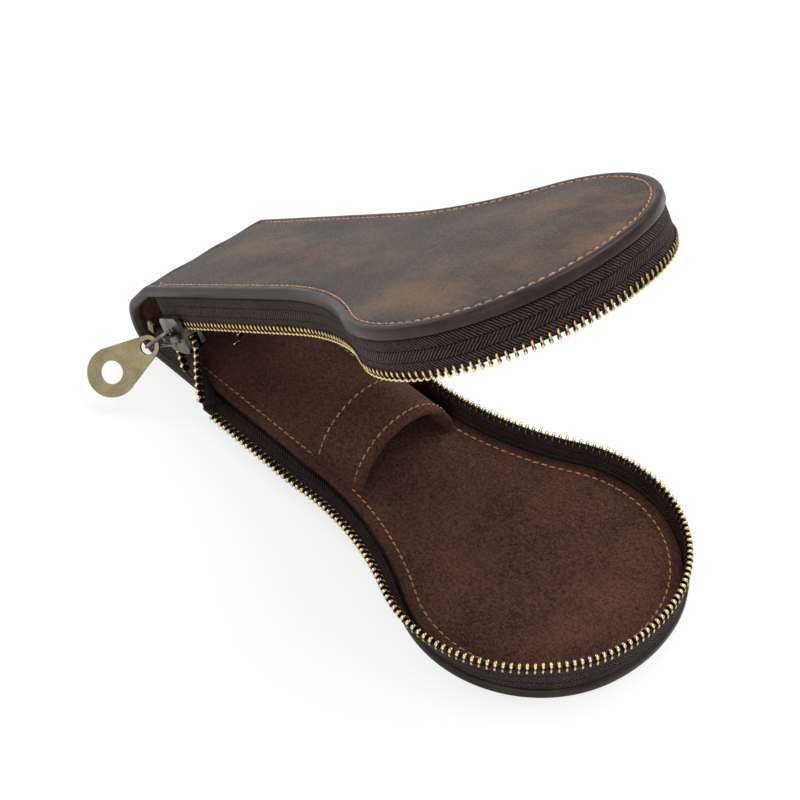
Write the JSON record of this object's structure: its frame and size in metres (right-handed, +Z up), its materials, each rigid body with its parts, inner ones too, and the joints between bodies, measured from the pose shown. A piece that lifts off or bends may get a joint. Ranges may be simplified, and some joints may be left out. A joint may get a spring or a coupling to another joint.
{
  "type": "zipped hinged leather travel case",
  "caption": "Keyhole-shaped leather travel case for one wristwatch, zip opened all round, lid held open on a bent leather spine, suede inside with an arched retaining band.",
  "frame": {"origin": "on the table, straight below the middle of the crease that the lid turns about, at the narrow end of the flat underside", "axes": "+X from the hinge axis towards the round end, the zip's slider and pull are on the -Y side, +Z up"},
  "size_m": [0.1608, 0.0764, 0.1049],
  "materials": {
    "outer_leather": "oiled pull-up leather, dark grey-brown, semi-matt",
    "edge_board": "bonded leather board, hidden",
    "foam": "soft foam pad, hidden",
    "suede": "chocolate suede with a short nap",
    "zip_tape": "woven herringbone zip tape, very dark brown",
    "aged_brass": "aged brass, brushed, semi-gloss",
    "dark_steel": "dark steel wire, semi-gloss"
  },
  "bodies": {
    "base": {"base_leather": "outer_leather", "base_board": "edge_board", "base_padding": "foam", "base_lining": "suede", "base_zip_tape": "zip_tape", "base_zip_teeth": "aged_brass", "zip_tape_end": "zip_tape", "zip_end_teeth": "aged_brass", "bottom_stop": "aged_brass", "base_top_stop": "aged_brass", "retaining_band": "suede", "spine_leather": "outer_leather", "spine_lining": "suede"},
    "lid": {"lid_leather": "outer_leather", "lid_board": "edge_board", "lid_padding": "foam", "lid_lining": "suede", "lid_zip_tape": "zip_tape", "lid_zip_teeth": "aged_brass", "lid_top_stop": "aged_brass"},
    "slider": {"slider_body": "dark_steel", "slider_crown": "dark_steel"},
    "link": {"pull_link": "dark_steel"},
    "tab": {"pull_tab": "aged_brass"}
  },
  "joints": [
    {"name": "lid_hinge", "type": "hinge", "parent": "base", "child": "lid", "pos_m": [0, 0, 0.024], "axis": [0, -1, 0], "range_deg": [-32.5, 80], "deforming": ["spine_leather", "spine_lining", "zip_tape_end", "zip_end_teeth"]},
    {"name": "slider_run", "type": "slide", "parent": "lid", "child": "slider", "axis": [0.8434, 0, 0.5373], "range_m": [0, 0.04]},
    {"name": "link_swing", "type": "hinge", "parent": "slider", "child": "link", "pos_m": [0.01293, -0.022, 0.0173], "axis": [-0.5373, 0, 0.8434], "range_deg": [-10, 20]},
    {"name": "pull_swing", "type": "hinge", "parent": "link", "child": "tab", "pos_m": [0.00935, -0.02706, 0.01502], "axis": [0.4269, -0.6051, 0.672], "range_deg": [-50, 20]}
  ]
}
